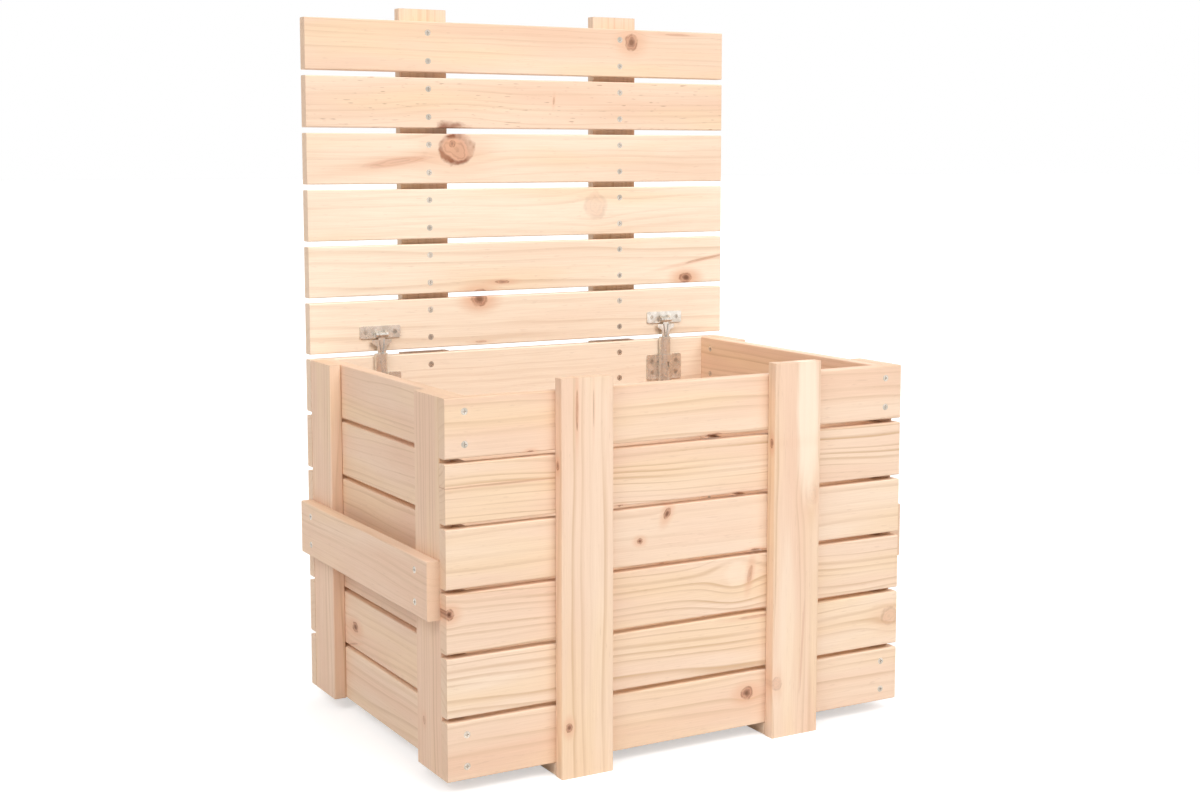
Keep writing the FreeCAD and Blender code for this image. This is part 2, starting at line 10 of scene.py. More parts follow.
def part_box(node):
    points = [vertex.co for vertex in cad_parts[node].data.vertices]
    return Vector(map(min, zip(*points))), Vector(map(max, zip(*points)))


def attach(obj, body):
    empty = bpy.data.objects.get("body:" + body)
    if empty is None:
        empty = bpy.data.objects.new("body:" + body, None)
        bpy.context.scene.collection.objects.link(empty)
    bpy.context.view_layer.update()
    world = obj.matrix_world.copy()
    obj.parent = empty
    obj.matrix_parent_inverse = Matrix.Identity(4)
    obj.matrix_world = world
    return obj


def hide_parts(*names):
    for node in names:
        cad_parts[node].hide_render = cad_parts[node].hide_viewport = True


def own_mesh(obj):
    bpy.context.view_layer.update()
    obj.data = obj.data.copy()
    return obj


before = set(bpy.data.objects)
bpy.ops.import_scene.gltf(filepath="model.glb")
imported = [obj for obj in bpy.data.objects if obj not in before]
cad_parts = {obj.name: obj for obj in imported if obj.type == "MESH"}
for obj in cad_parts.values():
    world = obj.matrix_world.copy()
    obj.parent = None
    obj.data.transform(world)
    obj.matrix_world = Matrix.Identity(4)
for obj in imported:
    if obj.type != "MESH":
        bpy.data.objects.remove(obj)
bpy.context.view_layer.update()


# Side walls: six planed pine slats on each side, stacked with gaps between them.
# The slats are sawn from small trunks, so the growth rings run as soft lines along them and
# bend round the knots. They are screwed to the corner posts from inside.
AXIS = {"X": Vector((1, 0, 0)), "Y": Vector((0, 1, 0)), "Z": Vector((0, 0, 1))}
MM_PER_M = 1000

# Places along and across are millimetres in the frame, and length and width are half sizes.
# Dark runs from rosy to burnt brown, and below 0 there is a pale patch in place of a knot. Rim and
# halo are the strengths of the bark and of the stain round it, and push says how far it crowds
# the growth lines aside, in its own half widths. A spike runs across the board and shows on its
# edges, and its place across is a depth from the middle.
Knot = namedtuple("Knot", "along across length width dark show push lean rim halo spike",
                  defaults=(0.6, 0.9, 0.8, 0, 0.6, 0.7, False))


def shade(red, green, blue):
    """A shader colour from the 0 to 255 values of a paint chart."""
    parts = (value / 255 for value in (red, green, blue))
    linear = [part / 12.92 if part < 0.04045 else ((part + 0.055) / 1.055) ** 2.4
              for part in parts]
    return (*linear, 1)


def add_node(tree, kind, inputs=(), **settings):
    """Adds a shader node, its inputs given in order as links or values, and gives its outputs."""
    node = tree.nodes.new(f"ShaderNode{kind}")
    for name, setting in settings.items():
        setattr(node, name, setting)
    for socket, source in zip(node.inputs, inputs):
        if isinstance(source, bpy.types.NodeSocket):
            tree.links.new(source, socket)
        elif source is not None:
            socket.default_value = source
    return node.outputs


def add_math(tree, operation, *inputs):
    return add_node(tree, "Math", inputs, operation=operation)[0]


def add_vector(tree, operation, *inputs):
    outputs = add_node(tree, "VectorMath", inputs, operation=operation)
    return outputs["Value"] if operation in ("LENGTH", "DOT_PRODUCT") else outputs["Vector"]


def add_noise(tree, place, scale, detail, output="Fac"):
    return add_node(tree, "TexNoise", (place, None, scale, detail))[output]


def add_step(tree, value, start, end, low=0.0, high=1.0):
    """A soft step of a value, from low at start to high at end."""
    inputs = (value, start, end, low, high)
    return add_node(tree, "MapRange", inputs, interpolation_type="SMOOTHSTEP")[0]


def add_blend(tree, factor, first, second):
    """One colour going over to another."""
    inputs = (factor, None, None, None, None, None, first, second)
    return add_node(tree, "Mix", inputs, data_type="RGBA")[2]


def new_group(name, inputs, outputs):
    """An empty node group and its two ends."""
    tree = bpy.data.node_groups.new(name, "ShaderNodeTree")
    for socket, kind in inputs.items():
        tree.interface.new_socket(socket, in_out="INPUT", socket_type=f"NodeSocket{kind}")
    for socket, kind in outputs.items():
        tree.interface.new_socket(socket, in_out="OUTPUT", socket_type=f"NodeSocket{kind}")
    ends = tree.nodes.new("NodeGroupInput").outputs, tree.nodes.new("NodeGroupOutput").inputs
    return tree, *ends


def new_material(name):
    """A new material, its node tree and its surface shader."""
    material = bpy.data.materials.new(name)
    material.use_nodes = True
    return material, material.node_tree, material.node_tree.nodes["Principled BSDF"]


def dress(node, material):
    """Gives a CAD node its material."""
    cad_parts[node].material_slots[0].material = material


# Where a knot's parts begin and end, in its own half widths from its middle.
HEART_EDGE = (0.15, 0.8)
CORE_EDGE = (0.6, 1.2)
RIM_START = (0.65, 0.85)
RIM_END = (0.98, 1.18)
HALO_EDGE = (0.6, 2.8)
HALO_STRETCH = (0.75, 1, 1)

HEART_LEAST = 0.2
RAGGED_SCALE = 1.1
RAGGEDNESS = 0.8
BARK_SCALE = 0.9
BARK_PATCHES = (0.38, 0.6)
BARK_LEAST = 0.2
KNOT_RING_PACE = 15
KNOT_RING_WAVER = 9
PARTING_SOFTNESS = 0.5
BEND_FADE = (0.45, 0.4, 0)


def make_knot_group():
    """A knot through a board: its heart, core, rings, rim and halo, and how it bends the lines."""
    tree, given, made = new_group(
        "pine_knot",
        {"Place": "Vector", "Centre": "Vector", "Reach": "Vector", "Lean": "Float",
         "Push": "Float"},
        {"Bend": "Float", "Core": "Float", "Heart": "Float", "Rim": "Float", "Rings": "Float",
         "Halo": "Float"})
    offset = add_vector(tree, "SUBTRACT", given["Place"], given["Centre"])
    turned = add_node(tree, "VectorRotate", (offset, (0, 0, 0), (0, 0, 1), given["Lean"]))[0]
    in_radii = add_vector(tree, "DIVIDE", turned, given["Reach"])

    across = add_node(tree, "SeparateXYZ", (in_radii,))["Y"]
    softened = add_math(tree, "MULTIPLY_ADD", across, across, PARTING_SOFTNESS)
    aside = add_math(tree, "DIVIDE", across, add_math(tree, "SQRT", softened))
    spread = add_vector(tree, "MULTIPLY", in_radii, BEND_FADE)
    fade = add_math(tree, "MULTIPLY", add_vector(tree, "DOT_PRODUCT", spread, spread), -1)
    fade = add_math(tree, "EXPONENT", fade)
    bend = add_math(tree, "MULTIPLY", add_math(tree, "MULTIPLY", aside, fade), given["Push"])
    tree.links.new(bend, made["Bend"])

    grown_from = add_vector(tree, "ADD", in_radii, given["Centre"])
    ragged = add_math(tree, "SUBTRACT", add_noise(tree, grown_from, RAGGED_SCALE, 4), 0.5)
    bark = add_noise(tree, grown_from, BARK_SCALE, 2)
    bark = add_step(tree, bark, *BARK_PATCHES, BARK_LEAST, 1)
    radii = add_vector(tree, "LENGTH", in_radii)
    radii = add_math(tree, "MULTIPLY_ADD", ragged, RAGGEDNESS, radii)
    tree.links.new(add_step(tree, radii, *CORE_EDGE, 1, 0), made["Core"])
    tree.links.new(add_step(tree, radii, *HEART_EDGE, 1, HEART_LEAST), made["Heart"])
    rim = add_math(tree, "MULTIPLY", add_step(tree, radii, *RIM_START),
                   add_step(tree, radii, *RIM_END, 1, 0))
    tree.links.new(add_math(tree, "MULTIPLY", rim, bark), made["Rim"])
    wave = add_math(tree, "MULTIPLY", radii, KNOT_RING_PACE)
    wave = add_math(tree, "SINE", add_math(tree, "MULTIPLY_ADD", ragged, KNOT_RING_WAVER, wave))
    tree.links.new(add_step(tree, wave, 0, 1), made["Rings"])
    glow = add_vector(tree, "LENGTH", add_vector(tree, "MULTIPLY", in_radii, HALO_STRETCH))
    tree.links.new(add_step(tree, glow, *HALO_EDGE, 1, 0), made["Halo"])
    return tree


CREAM = shade(254, 236, 214)
ROSY = shade(239, 203, 177)
HONEY = shade(245, 216, 180)
LATEWOOD = shade(203, 163, 122)
RESIN = shade(150, 98, 64)
END_GRAIN = shade(230, 196, 167)

# Patterns along, across and through a board, in cycles to the millimetre.
RING_WAVER = (0.0045, 0.014, 0.014)
LINE_FADING = (0.005, 0.05, 0.05)
FIBRES = (0.02, 1.3, 1.3)
TONE_DRIFT = (0.003, 0.025, 0.025)
HONEY_PATCHES = (0.0035, 0.02, 0.02)
RESIN_DASHES = (0.07, 0.55, 0.55)

# Late wood starts and ends at these parts of a year's ring, and end grain at these depths.
LATE_START = (0.5, 0.88)
LATE_END = (0.88, 1)
END_DEPTH_MM = (0.4, 0.1)

WAVER_MM = (0, 16, 16)
YEAR_SCALE = 0.7
YEAR_UNEVENNESS = 1.6
YEAR_LEAST = 0.25
LINE_LEAST = 0.35
DRIFT_STRENGTH = 1.2
END_STRENGTH = 0.6
FIBRE_STRENGTH = 0.5
FIBRE_SHADE = 0.1
PINE_ROUGHNESS = 0.56
FIBRE_ROUGHNESS = 0.3
LATE_SINKING = 0.4


def make_grain_group():
    """Sawn pine in a board's own millimetres: rings round a pith beside it, fibres and flecks."""
    tree, given, made = new_group(
        "pine_grain",
        {"Place": "Vector", "Pith": "Vector", "Drift": "Vector", "Log": "Vector", "Ring": "Float",
         "Bend": "Float", "Half length": "Float", "Tone": "Float", "Honey": "Float",
         "Lines": "Float", "Flecks": "Float"},
        {"Colour": "Color", "Roughness": "Float", "Height": "Float"})
    in_log = add_vector(tree, "ADD", given["Place"], given["Log"])
    along = add_node(tree, "SeparateXYZ", (given["Place"],))["X"]

    def noise(stretch, detail, output="Fac"):
        return add_noise(tree, add_vector(tree, "MULTIPLY", in_log, stretch), 1, detail, output)

    def centred(value):
        return add_math(tree, "SUBTRACT", value, 0.5)

    waver = add_vector(tree, "SUBTRACT", noise(RING_WAVER, 1, "Color"), (0.5, 0.5, 0.5))
    waver = add_vector(tree, "MULTIPLY", waver, WAVER_MM)
    drifted = add_node(tree, "CombineXYZ", (along, along, along))[0]
    drifted = add_vector(tree, "MULTIPLY", drifted, given["Drift"])
    bent = add_node(tree, "CombineXYZ", (0.0, given["Bend"], 0.0))[0]
    bent = add_vector(tree, "ADD", given["Pith"], bent)
    from_pith = add_vector(tree, "SUBTRACT", given["Place"], bent)
    from_pith = add_vector(tree, "ADD", from_pith, drifted)
    from_pith = add_vector(tree, "ADD", from_pith, waver)
    from_pith = add_vector(tree, "MULTIPLY", from_pith, (0, 1, 1))
    rings = add_math(tree, "DIVIDE", add_vector(tree, "LENGTH", from_pith), given["Ring"])
    uneven = add_node(tree, "TexNoise", (None, rings, YEAR_SCALE, 1), noise_dimensions="1D")["Fac"]
    rings = add_math(tree, "MULTIPLY_ADD", centred(uneven), YEAR_UNEVENNESS, rings)

    year = add_math(tree, "FLOOR", rings)
    season = add_math(tree, "FRACT", rings)
    late = add_math(tree, "MULTIPLY", add_step(tree, season, *LATE_START),
                    add_step(tree, season, *LATE_END, 1, 0))
    weight = add_node(tree, "TexWhiteNoise", (None, year), noise_dimensions="1D")["Value"]
    late = add_math(tree, "MULTIPLY", late, add_step(tree, weight, 0, 1, YEAR_LEAST, 1))
    fading = add_step(tree, noise(LINE_FADING, 1), 0.3, 0.65, LINE_LEAST, 1)
    late = add_math(tree, "MULTIPLY", add_math(tree, "MULTIPLY", late, fading), given["Lines"])

    fibre = centred(noise(FIBRES, 3))
    drift = centred(noise(TONE_DRIFT, 1))
    depths = [add_math(tree, "SUBTRACT", given["Half length"], depth) for depth in END_DEPTH_MM]
    end = add_step(tree, add_math(tree, "ABSOLUTE", along), *depths)
    tone = add_math(tree, "MULTIPLY_ADD", drift, DRIFT_STRENGTH, given["Tone"])
    colour = add_blend(tree, tone, CREAM, ROSY)
    patches = add_step(tree, noise(HONEY_PATCHES, 2), 0.45, 0.7)
    colour = add_blend(tree, add_math(tree, "MULTIPLY", patches, given["Honey"]), colour, HONEY)
    colour = add_blend(tree, late, colour, LATEWOOD)
    colour = add_blend(tree, add_math(tree, "MULTIPLY", end, END_STRENGTH), colour, END_GRAIN)
    dashes = add_step(tree, noise(RESIN_DASHES, 1), 0.66, 0.78)
    colour = add_blend(tree, add_math(tree, "MULTIPLY", dashes, given["Flecks"]), colour, RESIN)
    streaks = add_math(tree, "MULTIPLY_ADD", fibre, FIBRE_STRENGTH, FIBRE_SHADE)
    tree.links.new(add_blend(tree, streaks, colour, LATEWOOD), made["Colour"])

    roughness = add_math(tree, "MULTIPLY_ADD", fibre, FIBRE_ROUGHNESS, PINE_ROUGHNESS)
    tree.links.new(roughness, made["Roughness"])
    height = add_math(tree, "SUBTRACT", fibre, add_math(tree, "MULTIPLY", late, LATE_SINKING))
    tree.links.new(height, made["Height"])
    return tree


knot_group = make_knot_group()
grain_group = make_grain_group()

KNOT_RED = shade(220, 169, 140)
KNOT_BROWN = shade(88, 44, 18)
KNOT_RIM = shade(136, 80, 56)
KNOT_HALO = shade(228, 178, 144)
KNOT_RING_STRENGTH = 0.35
THROUGH = 1e6

# Each board is drawn from its own trunk: the pith lies this far off and leans away along the
# board, and the rings are this wide.
PITH_ASIDE_MM = (40, 75)
PITH_DEPTH_MM = (10, 40)
LEAN_ASIDE = 0.02
LEAN_DEPTH = 0.03
RING_MM = (6.5, 9)
TRUNK_MM = 5000
GRAIN_BUMP = 0.25
GRAIN_HEIGHT = 0.0004
PINE_SPECULAR = 0.3


def pine(node, along, across, tone=0.45, honey=0.6, lines=0.5, ring=None, flecks=0.12, knots=()):
    """Gives a board its own cut of pine, with growth lines along it and its knots."""
    draw = random.Random(node)
    low, high = (Vector(corner) * MM_PER_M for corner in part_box(node))
    middle = (low + high) / 2
    turn = Matrix((AXIS[along], AXIS[across], AXIS[along].cross(AXIS[across])))
    half_length = AXIS[along].dot(high - low) / 2
    material, tree, surface = new_material(f"pine_{node}")
    place = add_node(tree, "TexCoord")["Object"]
    inputs = (place, -(turn @ middle), turn.to_euler(), (MM_PER_M,) * 3)
    place = add_node(tree, "Mapping", inputs)[0]

    bend = 0.0
    grown = []
    for knot in knots:
        start = knot.along - AXIS[along].dot(middle)
        if knot.spike:
            centre = (start, 0, knot.across)
            reach = (knot.length, THROUGH, knot.width)
        else:
            centre = (start, knot.across - AXIS[across].dot(middle), 0)
            reach = (knot.length, knot.width, THROUGH)
        inputs = (place, centre, reach, -math.radians(knot.lean), knot.push * knot.width)
        parts = add_node(tree, "Group", inputs, node_tree=knot_group)
        bend = add_math(tree, "ADD", bend, parts["Bend"])
        grown.append((knot, parts))

    pith_aside = draw.choice((-1, 1)) * draw.uniform(*PITH_ASIDE_MM)
    pith_depth = draw.choice((-1, 1)) * draw.uniform(*PITH_DEPTH_MM)
    drift = (0, draw.uniform(-LEAN_ASIDE, LEAN_ASIDE), draw.uniform(-LEAN_DEPTH, LEAN_DEPTH))
    drawn_ring = draw.uniform(*RING_MM)
    log = tuple(draw.uniform(-TRUNK_MM, TRUNK_MM) for axis in AXIS)
    inputs = (place, (0, pith_aside, pith_depth), drift, log, ring or drawn_ring, bend,
              half_length, tone, honey, lines, flecks)
    grain = add_node(tree, "Group", inputs, node_tree=grain_group)
    colour = grain["Colour"]
    for knot, parts in grown:
        pale = knot.dark < 0
        halo = add_math(tree, "MULTIPLY", parts["Halo"], 0 if pale else knot.halo * knot.show)
        colour = add_blend(tree, halo, colour, KNOT_HALO)
        heart = add_math(tree, "MULTIPLY", parts["Heart"], max(knot.dark, 0))
        core = add_blend(tree, heart, CREAM if pale else KNOT_RED, KNOT_BROWN)
        rings = add_math(tree, "MULTIPLY", parts["Rings"], 0 if pale else KNOT_RING_STRENGTH)
        core = add_blend(tree, rings, core, KNOT_RIM)
        shown = add_math(tree, "MULTIPLY", parts["Core"], knot.show)
        colour = add_blend(tree, shown, colour, core)
        rim = add_math(tree, "MULTIPLY", parts["Rim"], 0 if pale else knot.rim * knot.show)
        colour = add_blend(tree, rim, colour, KNOT_RIM)
    tree.links.new(colour, surface.inputs["Base Color"])
    tree.links.new(grain["Roughness"], surface.inputs["Roughness"])
    bump = add_node(tree, "Bump", (GRAIN_BUMP, GRAIN_HEIGHT, None, grain["Height"]))[0]
    tree.links.new(bump, surface.inputs["Normal"])
    surface.inputs["Specular IOR Level"].default_value = PINE_SPECULAR
    dress(node, material)


SLAT_ROWS = range(1, 7)
# The side slats are rosier than the front ones, partly their own wood and partly painted shade,
# the rosy cast of the shaded side.
SIDE_TONE_AND_SHADE = 0.7
# Each row down is painted a little paler, as painted light against the shade that the handles cast
# below them.
PAINTED_LIGHT_ROW_STEP = 0.05
side_knots = {
    "left_slat_2": [Knot(85, 102.7, 8.5, 5.5, 0.9),
                    Knot(92, 82, 12, 1.2, 0.5, 0.6, 0, -14)],
    "right_slat_4": [Knot(-60, 246, 6, 4.5)],
    "right_slat_1": [Knot(102, 40, 8, 6, 0.4)],
}
for side in ("left", "right"):
    for row in SLAT_ROWS:
        node = f"{side}_slat_{row}"
        tone = SIDE_TONE_AND_SHADE + PAINTED_LIGHT_ROW_STEP * row
        pine(node, "Y", "Z", tone=tone, knots=side_knots.get(node, ()))


# Corner posts: four flat pine boards standing outside the ends of the side slats.
# They are the same planed stock as the slats, stood on end, and the handles cross them.
CORNERS = ("front_left", "front_right", "back_left", "back_right")
post_knots = {
    "front_left_post": [Knot(62, -133, 4, 3, 0.3, 0.5)],
    "back_right_post": [Knot(300, 140, 9, 7, 0.4)],
}
for corner in CORNERS:
    node = f"{corner}_post"
    pine(node, "Z", "Y", tone=0.95, lines=0.6, knots=post_knots.get(node, ()))


# Front and back walls: six wide pine slats each, lapping over the ends of the side walls.
# The ones at top and bottom are screwed to the corner from outside, the rest to the battens.
wall_looks = {
    "front_slat_1": {"tone": 0.7, "lines": 0.45, "ring": 10},
    "front_slat_2": {"tone": 0.5, "lines": 0.75, "ring": 7.5},
    "front_slat_3": {"tone": 0.65, "lines": 0.75, "ring": 8},
    "front_slat_4": {"tone": 0.5, "lines": 0.36, "ring": 12},
    "front_slat_5": {"tone": 0.65, "lines": 0.85, "ring": 6},
    "front_slat_6": {"tone": 0.7, "lines": 0.48, "ring": 11},
    # The top back slat is painted as pale as the wood goes, partly its own wood and partly painted
    # light for the dim inside of the box.
    "back_slat_6": {"tone": 0, "honey": 0, "lines": 0.3},
}
wall_knots = {
    "front_slat_6": [Knot(31.5, 333, 9, 2.2, 1, 0.9, 0.3),
                     Knot(-184, 333, 3.5, 2, 0.8, 0.9, 0.3)],
    "front_slat_5": [Knot(-82, 269, 3.5, 1.8, 0.6, 0.8, 0.3),
                     Knot(60, 269, 6, 1.6, 0.6, 0.7, 0.3),
                     Knot(-218, 305, 60, 0.9, 0.4, 0.5, 0)],
    "front_slat_4": [Knot(-26.5, 255.8, 6, 3.6, 0.9, 0.9, 1.2, 65),
                     Knot(-59.2, 230.4, 3.2, 3, 0.9),
                     Knot(83.5, 205.5, 6, 1.8, 0.8, 0.9, 0.3)],
    "front_slat_3": [Knot(-273, 181.5, 5, 5.5, 1, 0.95),
                     Knot(77, 180, 9, 3, 0.25, 0.75, 0, 80, 0.2),
                     Knot(60, 183, 16, 14, -1, 0.3, 1)],
    "front_slat_2": [Knot(266, 110, 11, 10, 0.05, 0.35),
                     Knot(83, 133, 18, 1.5, 0.2, 0.5, 0)],
    "front_slat_1": [Knot(74.6, 50.4, 7.5, 6.5, 0.9, 0.9)],
    "back_slat_6": [Knot(-150, 350, 5, 4, 0.8)],
    "back_slat_4": [Knot(40, 240, 10, 8, 0.3),
                    Knot(-210, 222, 3, 2.5, 0.8)],
    "back_slat_2": [Knot(190, 100, 5, 4.5, 0.8)],
    "back_slat_1": [Knot(-60, 45, 12, 9, 0.3)],
}
for wall in ("front", "back"):
    for row in SLAT_ROWS:
        node = f"{wall}_slat_{row}"
        pine(node, "X", "Z", knots=wall_knots.get(node, ()), **wall_looks.get(node, {}))


# Battens: upright pine boards over the front and back slats, which hold each wall together.
# The front pair stands a little above the wall, and all four run down to the ground.
batten_knots = {
    "front_left_batten": [Knot(53, -149, 4.6, 3.6, 0.85),
                          Knot(374, -139.6, 18, 1.3, 0.1, 0.8, 0),
                          Knot(374, -121, 18, 0.9, 0.9, 0.35, 0),
                          Knot(318, 1, 4.5, 2.6, 0.6, spike=True)],
    "front_right_batten": [Knot(262, 147, 12, 9, 0.02, 0.25, 1, rim=0.1),
                           Knot(345, 140, 85, 16, -1, 0.7, 0),
                           Knot(60, 104, 7, 6, 0.05, 0.35),
                           Knot(320, -1, 5, 2.6, 0.6, spike=True),
                           Knot(120, 116, 100, 11, -1, 0.25, 1.3),
                           Knot(95, 136, 50, 1.6, 0.1, 0.4, 0, 3, 0.2, 0)],
    "back_left_batten": [Knot(150, -120, 7, 6, 0.5)],
    "back_right_batten": [Knot(310, 135, 5, 4, 0.8)],
}
for corner in CORNERS:
    node = f"{corner}_batten"
    pine(node, "Z", "X", tone=0.72, ring=10, knots=batten_knots[node])


# Carrying handles: a pine board across the posts on each side, with a finger gap behind it.
# Each is held by two screws into each post.
for side in ("left", "right"):
    pine(f"{side}_handle", "Y", "Z", tone=0.95, lines=0.4)


# Bottom: two skids from front to back under the box and five boards laid across them.
# All are the same pine, and the floor boards are screwed down into the skids.
FLOOR_BOARDS = range(1, 6)
floor_knots = {
    "floor_board_2": [Knot(-90, -75, 9, 7, 0.5)],
    "floor_board_4": [Knot(140, 65, 5, 4, 0.8)],
}
for side in ("left", "right"):
    pine(f"{side}_skid", "Y", "X", tone=0.5)
for board in FLOOR_BOARDS:
    node = f"floor_board_{board}"
    pine(node, "X", "Y", tone=0.5, knots=floor_knots.get(node, ()))


# Hinges: a housing with a half round barrel on the back wall, an arm that slides in it, and a
# plate under the lid. All are stamped from sheet steel and plated with bright zinc.
BLOOM_SCALE = 0.12
BRUSH_STRETCH = 12
BRUSH_STRENGTH = 0.25
MOTTLE_EDGE = (0.35, 0.95)
PLATE_METALLIC = 0.75


def plated(name, colour, dull, rough_low, rough_high, grain):
    """Plated steel: a cloudy bloom with a faint brushed grain, so many lines to the millimetre."""
    material, tree, surface = new_material(name)
    place = add_node(tree, "TexCoord")["Object"]
    place = add_node(tree, "Mapping", (place, None, None, (MM_PER_M,) * 3))[0]
    bloom = add_noise(tree, place, BLOOM_SCALE, 2)
    stretch = (grain / BRUSH_STRETCH, grain / BRUSH_STRETCH, grain)
    brushed = add_noise(tree, add_vector(tree, "MULTIPLY", place, stretch), 1, 1)
    mottle = add_math(tree, "MULTIPLY_ADD", brushed, BRUSH_STRENGTH, bloom)
    mottle = add_step(tree, mottle, *MOTTLE_EDGE)
    roughness = add_step(tree, mottle, 0, 1, rough_low, rough_high)
    tree.links.new(add_blend(tree, mottle, colour, dull), surface.inputs["Base Color"])
    tree.links.new(roughness, surface.inputs["Roughness"])
    surface.inputs["Metallic"].default_value = PLATE_METALLIC
    return material


hinge_zinc = plated("hinge_zinc", shade(237, 231, 222), shade(212, 204, 192), 0.2, 0.32, 2.5)
for side in ("left", "right"):
    for piece in ("housing", "arm", "lid_plate"):
        dress(f"{side}_hinge_{piece}", hinge_zinc)


# Hinge wire: the riveted pins on which the lid turns and the bent hooks in front of the arms.
# Both are drawn steel wire, brighter and smoother than the stamped sheet.
bright_wire = plated("bright_wire", shade(216, 215, 212), shade(192, 190, 186), 0.15, 0.28, 5)
for node in ("hinge_pins", "hinge_hooks"):
    dress(node, bright_wire)


# Hinge springs: a coil of spring wire standing in each barrel, which carries the lid's weight.
# Its foot rests on the housing's tab, and the arm presses it down as the lid closes.
SPRING_WIRE = 0.0005
SPRING_TURNS = 14
STEPS_PER_TURN = 20


def add_object(name, mesh):
    """Puts a finished mesh into the scene as an object at the origin."""
    data = bpy.data.meshes.new(name)
    mesh.to_mesh(data)
    mesh.free()
    made = bpy.data.objects.new(name, data)
    bpy.context.collection.objects.link(made)
    return made


low, high = (Vector(corner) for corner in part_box("hinge_springs"))
spring_radius = (high.y - low.y) / 2
spring_length = high.z - low.z
steps = SPRING_TURNS * STEPS_PER_TURN
rise = (spring_length - 2 * SPRING_WIRE) / steps
mesh = bmesh.new()
for centre_x in (low.x + spring_radius, high.x - spring_radius):
    centre = Vector((centre_x, (low.y + high.y) / 2, low.z))
    start = centre + Vector((spring_radius - SPRING_WIRE, 0, SPRING_WIRE))
    stand = Matrix.Translation(start) @ Matrix.Rotation(math.radians(90), 4, "X")
    ring = bmesh.ops.create_circle(mesh, segments=8, radius=SPRING_WIRE, matrix=stand)["verts"]
    first_ring = list({edge for vertex in ring for edge in vertex.link_edges})
    bmesh.ops.contextual_create(mesh, geom=first_ring)
    coil = bmesh.ops.spin(mesh, geom=first_ring, cent=centre, axis=(0, 0, 1), dvec=(0, 0, rise),
                          angle=math.tau * SPRING_TURNS, steps=steps)["geom_last"]
    last_ring = [part for part in coil if isinstance(part, bmesh.types.BMEdge)]
    bmesh.ops.contextual_create(mesh, geom=last_ring)
bmesh.ops.recalc_face_normals(mesh, faces=mesh.faces)
for face in mesh.faces:
    face.smooth = len(face.verts) == 4
coils = add_object("hinge_coils", mesh)
coils.data.materials.append(bright_wire)
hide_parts("hinge_springs")
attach(coils, "box")
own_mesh(coils)


# Lid: six pine slats side by side with gaps between, seen from below while it stands open.
# They are a little narrower than the wall slats and are screwed from below to the battens.
lid_looks = {
    # The lowest lid slat is painted as pale as the wood goes, partly its own wood and partly
    # painted light where the open box keeps light from it.
    "lid_slat_1": {"tone": 0, "honey": 0, "lines": 0.3, "ring": 12},
    "lid_slat_2": {"tone": 0.05, "honey": 0.5, "lines": 0.4, "ring": 14},
    "lid_slat_3": {"tone": 0.1, "lines": 0.25, "ring": 10},
    "lid_slat_4": {"tone": 0.45, "lines": 0.28, "ring": 9},
    "lid_slat_5": {"tone": 0.68, "lines": 0.35, "ring": 8, "flecks": 0.5},
    "lid_slat_6": {"tone": 0.68, "lines": 0.32, "ring": 7},
}
lid_knots = {
    "lid_slat_6": [Knot(143.8, 758.8, 8.5, 9.5, 0.85, 0.85),
                   Knot(210, 770, 17, 1.2, 0.2, 0.5, 0)],
    "lid_slat_5": [Knot(36, 686.5, 4, 1.2, 0.4, 0.5, 0, 85),
                   Knot(-95, 634, 30, 26, 0.02, 0.6, 0.6, 0, 1.4, 0.1)],
    "lid_slat_4": [Knot(-92.3, 629, 20, 17.5, 0.16, 0.9, 0.7, 0, 1.1, 0.3),
                   Knot(-98, 635, 4, 4, 0.6, 0.8, 0),
                   Knot(-168, 614, 44, 5, 0.05, 0.5, 0, 8, 0)],
    "lid_slat_3": [Knot(93, 561, 15, 15, 0.02, 0.25, 0.5, 0, 0.5, 0.2)],
    "lid_slat_2": [Knot(224, 468.5, 9, 6, 0.95, 0.9, halo=0.9),
                   Knot(250, 491, 28, 1.5, 0.2, 0.6, 0, 10),
                   Knot(-34, 472, 9, 2.2, 0.7, 0.7, 0.5),
                   Knot(-64.6, 455, 11, 9, 0.2, 0.75, 0.5, halo=0.9)],
    "lid_slat_1": [Knot(-64.6, 452.3, 10, 8, 0.9, 0.85, halo=0.9),
                   Knot(-62.7, 402, 7, 1.2, 0.4, 0.5, 0)],
}
for row in SLAT_ROWS:
    node = f"lid_slat_{row}"
    pine(node, "X", "Z", knots=lid_knots[node], **lid_looks[node])


# Lid battens: two pine boards across the top of the lid, in line with the front battens.
# They hold the slats together, and their front ends overhang the last slat.
lid_batten_knots = {
    "lid_left_batten": [Knot(560, -130, 9, 7, 0.4)],
    "lid_right_batten": [Knot(690, 120, 5, 4, 0.8)],
}
for side in ("left", "right"):
    node = f"lid_{side}_batten"
    pine(node, "Z", "X", tone=0.6, knots=lid_batten_knots[node])


# Screws: countersunk wood screws with a cross recess, in rows along the battens and corners.
# They are zinc plated steel, a little duller than the hinges.
# The warm tint of the zinc is a painted reflection of the pine round the screws.
screw_zinc = plated("screw_zinc", shade(223, 213, 200), shade(186, 175, 162), 0.22, 0.38, 3)
for node in ("box_screws", "lid_screws"):
    dress(node, screw_zinc)


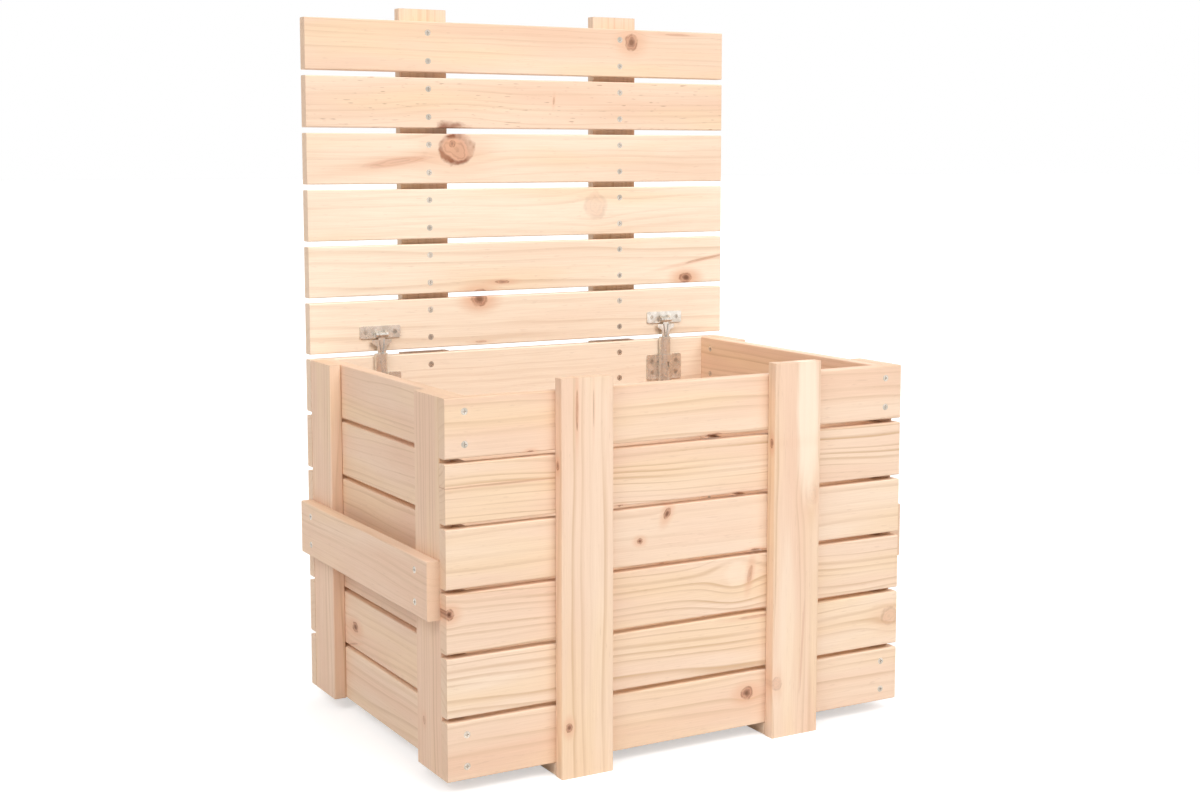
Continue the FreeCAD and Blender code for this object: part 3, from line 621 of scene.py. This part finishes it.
# Studio: a wide white paper floor under a bright sky of diffusers, with four soft lamps.
# The key hangs high in front, a fill at the left and another low behind on the right, and a
# narrow softbox in front lights the lid and the inside. Metal mirrors the sky, not the lamps.
WHITE = (1, 1, 1, 1)
FLOOR_HALF = 40
PAPER = (0.7, 0.7, 0.7, 1)
PAPER_ROUGHNESS = 0.9
PAPER_LIFT = 0.5
AMBIENT = 0.3
LAMP_SPREAD = math.radians(40)
LAMPS = {
    "key_lamp": (Vector((0.22, -0.69, 0.69)), 1.5),
    "fill_lamp": (Vector((-0.62, -0.33, 0.71)), 1.4),
    "back_lamp": (Vector((0.61, 0.66, 0.43)), 1.1),
}
SOFTBOX_SIZE = 0.6
SOFTBOX_SPREAD = math.radians(50)
SOFTBOX_POWER = 0.82
SOFTBOX_PLACE = Vector((0, -1.4, 1.7))
SOFTBOX_TARGET = Vector((0, 0.2, 0.55))


def add_shown(tree):
    """1 for rays by which the background is seen, straight or in metal, and 0 for its light."""
    rays = add_node(tree, "LightPath")
    mirrored = add_math(tree, "MAXIMUM", rays["Is Glossy Ray"], rays["Is Transmission Ray"])
    return add_math(tree, "MAXIMUM", rays["Is Camera Ray"], mirrored)


def add_lamp(lamp, back):
    """Puts a lamp into the scene with its back towards a direction, hidden from mirrors."""
    made = bpy.data.objects.new(lamp.name, lamp)
    made.rotation_euler = back.to_track_quat("Z", "Y").to_euler()
    made.visible_glossy = False
    bpy.context.collection.objects.link(made)
    return made


paper, tree, surface = new_material("studio_paper")
lift = add_math(tree, "MULTIPLY", add_shown(tree), PAPER_LIFT)
tree.links.new(lift, surface.inputs["Emission Strength"])
surface.inputs["Emission Color"].default_value = WHITE
surface.inputs["Base Color"].default_value = PAPER
surface.inputs["Roughness"].default_value = PAPER_ROUGHNESS
surface.inputs["Specular IOR Level"].default_value = 0

mesh = bmesh.new()
bmesh.ops.create_grid(mesh, x_segments=1, y_segments=1, size=FLOOR_HALF)
studio_floor = add_object("studio_floor", mesh)
studio_floor.data.materials.append(paper)

world = bpy.data.worlds.new("studio")
bpy.context.scene.world = world
world.use_nodes = True
tree = world.node_tree
backdrop = tree.nodes["Background"]
backdrop.inputs["Color"].default_value = WHITE
tree.links.new(add_step(tree, add_shown(tree), 0, 1, AMBIENT, 1), backdrop.inputs["Strength"])

for name, (origin, strength) in LAMPS.items():
    lamp = bpy.data.lights.new(name, "SUN")
    lamp.energy = strength
    lamp.angle = LAMP_SPREAD
    add_lamp(lamp, origin)

lamp = bpy.data.lights.new("softbox", "AREA")
lamp.size = SOFTBOX_SIZE
lamp.spread = SOFTBOX_SPREAD
lamp.energy = SOFTBOX_POWER
softbox = add_lamp(lamp, SOFTBOX_PLACE - SOFTBOX_TARGET)
softbox.location = SOFTBOX_PLACE


# Camera: a normal lens at about the height of the lid's middle, turned 30 degrees to the left
# of the front and tilted down a little, with a slight drop of the lens to keep uprights upright.
IMAGE_WIDTH_PX = 1200
FOCAL_PX = 1751.0
SENSOR_MM = 36
LENS_DROP = -0.04
CAMERA_PLACE = (-0.9585, -1.6951, 0.6225)
YAW = 0.515
TILT = 0.1122
camera_data = bpy.data.cameras.new("camera")
camera_data.sensor_width = SENSOR_MM
camera_data.lens = FOCAL_PX / IMAGE_WIDTH_PX * SENSOR_MM
camera_data.shift_y = LENS_DROP
camera = bpy.data.objects.new("camera", camera_data)
camera.location = CAMERA_PLACE
camera.rotation_euler = (math.pi / 2 - TILT, 0, -YAW)
bpy.context.collection.objects.link(camera)
bpy.context.scene.camera = camera
bpy.context.scene.view_settings.view_transform = "Standard"
